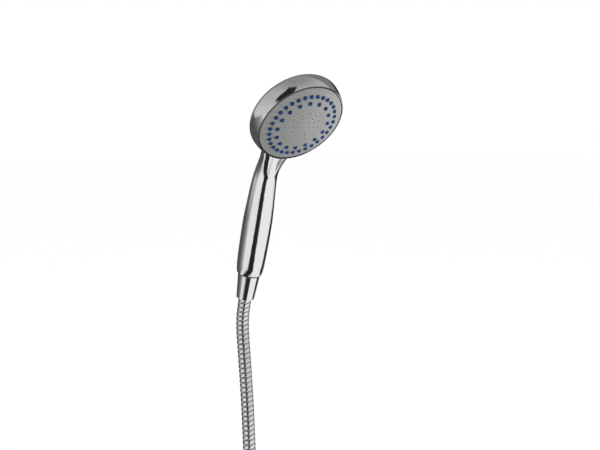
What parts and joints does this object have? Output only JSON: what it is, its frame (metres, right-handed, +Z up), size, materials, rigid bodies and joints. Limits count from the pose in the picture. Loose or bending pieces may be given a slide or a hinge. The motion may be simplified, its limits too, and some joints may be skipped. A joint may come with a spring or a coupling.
{
  "type": "handheld shower head",
  "caption": "Handheld shower head with a turning spray face of soft nozzles, a curved handle and a metal hose that hangs from a tapered nut and ends in a loose nut.",
  "frame": {"origin": "centre of the handle's lower end, just above the tapered nut that sits in a wall holder", "axes": "+Z up; -Y away from the wall, the side that sprays; +X across, to the right seen from the front"},
  "size_m": [0.2094, 0.1767, 0.6077],
  "materials": {
    "chrome_shell": "polished",
    "chrome_nut": "polished",
    "hose_strip": "satin",
    "face_plastic": "satin",
    "nozzle_rubber": "matte",
    "water_way_plastic": "satin",
    "slide_plastic": "satin",
    "seal_rubber": "matte",
    "spring_steel": "satin",
    "ferrule_brass": "satin",
    "tie_plastic": "matte"
  },
  "bodies": {
    "handset": {"housing": "chrome_shell", "inlet_connector": "water_way_plastic", "connector_seal": "seal_rubber", "flow_limiter": "slide_plastic", "waterway_tube": "water_way_plastic", "tube_seals": "seal_rubber", "manifold": "water_way_plastic", "manifold_screws": "spring_steel", "port_seal": "seal_rubber", "port_spring": "spring_steel", "click_spring": "spring_steel", "pivot_screw": "spring_steel", "pivot_washer": "spring_steel", "cone_nut": "chrome_nut", "swivel_ring": "slide_plastic", "top_ferrule": "ferrule_brass", "top_washer": "seal_rubber", "filter_screen": "spring_steel", "hose_tube": "hose_strip", "hose_coil": "hose_strip", "coil_tie": "tie_plastic", "hose_tail": "hose_strip", "end_ferrule": "ferrule_brass", "end_washer": "seal_rubber"},
    "spray_face": {"distributor": "slide_plastic", "chamber_plate": "water_way_plastic", "nozzle_mat": "nozzle_rubber", "face_plate": "face_plastic", "centre_disc": "face_plastic", "turbine_axle": "spring_steel"},
    "turbine": {"turbine": "slide_plastic"},
    "hex_nut": {"hex_nut": "chrome_nut"}
  },
  "joints": [
    {"name": "face_turn", "type": "hinge", "parent": "handset", "child": "spray_face", "pos_m": [0, -0.09714, 0.1588], "axis": [0, -0.757, -0.6534], "range_deg": [-60, 60], "deforming": ["click_spring"]},
    {"name": "turbine_spin", "type": "hinge", "parent": "spray_face", "child": "turbine", "pos_m": [0, -0.09714, 0.1588], "axis": [0, -0.757, -0.6534], "continuous": true},
    {"name": "hex_nut_spin", "type": "hinge", "parent": "handset", "child": "hex_nut", "pos_m": [0.1468, 0.0367, -0.2501], "axis": [0, 0, 1], "continuous": true}
  ]
}
